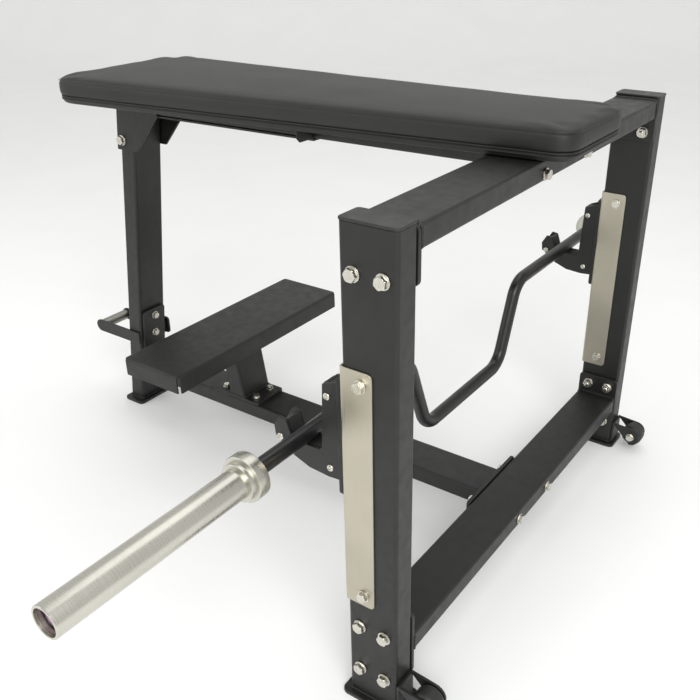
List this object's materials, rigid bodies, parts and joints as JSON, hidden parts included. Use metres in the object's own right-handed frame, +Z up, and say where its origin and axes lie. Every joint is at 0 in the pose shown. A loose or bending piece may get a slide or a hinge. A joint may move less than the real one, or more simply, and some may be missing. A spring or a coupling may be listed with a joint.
{
  "type": "seal row bench",
  "caption": "High flat bench for prone rows: steel frame, long tapered pad, foot step, and hooks that hold a cambered bar with spinning plate sleeves.",
  "frame": {"origin": "on the floor, below the middle of the whole object's box", "axes": "+Z up; +X along the pad from the rear leg towards the uprights; +Y along the bar"},
  "size_m": [1.4574, 2.084, 0.9704],
  "materials": {
    "powder_coat": "satin near-black powder coat, fine orange peel",
    "cap_paint": "satin olive-black paint",
    "pad_vinyl": "charcoal grained upholstery vinyl",
    "pad_board": "black-stained board with cloth backing",
    "brushed_guard": "vertically brushed stainless sheet",
    "zinc_fasteners": "bright zinc plate",
    "sleeve_steel": "turned satin chrome",
    "bar_black": "semi-gloss black",
    "hook_liner": "matte black polymer",
    "wheel_plastic": "moulded black polymer tyre",
    "bushing_bronze": "sintered bronze",
    "end_insert": "dull violet end insert",
    "grip_steel": "plain grey steel tube"
  },
  "bodies": {
    "frame": {"upright_left": "powder_coat", "base_plate_left": "powder_coat", "wheel_bracket_left": "powder_coat", "gusset_left": "powder_coat", "pad_bracket_left": "powder_coat", "handle_arm_left": "powder_coat", "hook_left": "powder_coat", "upright_cap_left": "cap_paint", "wheel_axle_left": "zinc_fasteners", "frame_bolt_top_front_left": "zinc_fasteners", "frame_bolt_top_rear_left": "zinc_fasteners", "frame_bolt_low1_front_left": "zinc_fasteners", "frame_bolt_low1_rear_left": "zinc_fasteners", "frame_bolt_low2_front_left": "zinc_fasteners", "frame_bolt_low2_rear_left": "zinc_fasteners", "guard_bolt_low_left": "zinc_fasteners", "guard_bolt_top_left": "zinc_fasteners", "guard_left": "brushed_guard", "hook_liner_left": "hook_liner", "upright_right": "powder_coat", "base_plate_right": "powder_coat", "wheel_bracket_right": "powder_coat", "gusset_right": "powder_coat", "pad_bracket_right": "powder_coat", "handle_arm_right": "powder_coat", "hook_right": "powder_coat", "upright_cap_right": "cap_paint", "wheel_axle_right": "zinc_fasteners", "frame_bolt_top_front_right": "zinc_fasteners", "frame_bolt_top_rear_right": "zinc_fasteners", "frame_bolt_low1_front_right": "zinc_fasteners", "frame_bolt_low1_rear_right": "zinc_fasteners", "frame_bolt_low2_front_right": "zinc_fasteners", "frame_bolt_low2_rear_right": "zinc_fasteners", "guard_bolt_low_right": "zinc_fasteners", "guard_bolt_top_right": "zinc_fasteners", "guard_right": "brushed_guard", "hook_liner_right": "hook_liner", "top_crossbeam": "powder_coat", "lower_crossbeam": "powder_coat", "bottom_beam": "powder_coat", "rear_leg": "powder_coat", "rear_foot_plate": "powder_coat", "leg_lug": "powder_coat", "spine_beam": "powder_coat", "step_tray": "powder_coat", "step_pedestal": "powder_coat", "gusset_bolt": "zinc_fasteners", "pad_board": "pad_board", "bench_pad": "pad_vinyl", "handle_grip": "grip_steel"},
    "bar": {"bar_shaft": "bar_black"},
    "left_sleeve": {"sleeve_left": "sleeve_steel", "sleeve_bushing_left": "bushing_bronze", "sleeve_end_left": "end_insert"},
    "right_sleeve": {"sleeve_right": "sleeve_steel", "sleeve_bushing_right": "bushing_bronze", "sleeve_end_right": "end_insert"},
    "left_wheel": {"wheel_left": "wheel_plastic"},
    "right_wheel": {"wheel_right": "wheel_plastic"}
  },
  "joints": [
    {"name": "bar_lift", "type": "slide", "parent": "frame", "child": "bar", "axis": [0, 0, 1], "range_m": [0, 0.48]},
    {"name": "sleeve_spin_left", "type": "hinge", "parent": "bar", "child": "left_sleeve", "pos_m": [0.46475, 0, 0.5283], "axis": [0, 1, 0], "continuous": true},
    {"name": "sleeve_spin_right", "type": "hinge", "parent": "bar", "child": "right_sleeve", "pos_m": [0.46475, 0, 0.5283], "axis": [0, 1, 0], "continuous": true},
    {"name": "wheel_spin_left", "type": "hinge", "parent": "frame", "child": "left_wheel", "pos_m": [0.70175, 0.526, 0.042], "axis": [0, 1, 0], "continuous": true},
    {"name": "wheel_spin_right", "type": "hinge", "parent": "frame", "child": "right_wheel", "pos_m": [0.70175, -0.526, 0.042], "axis": [0, 1, 0], "continuous": true}
  ]
}
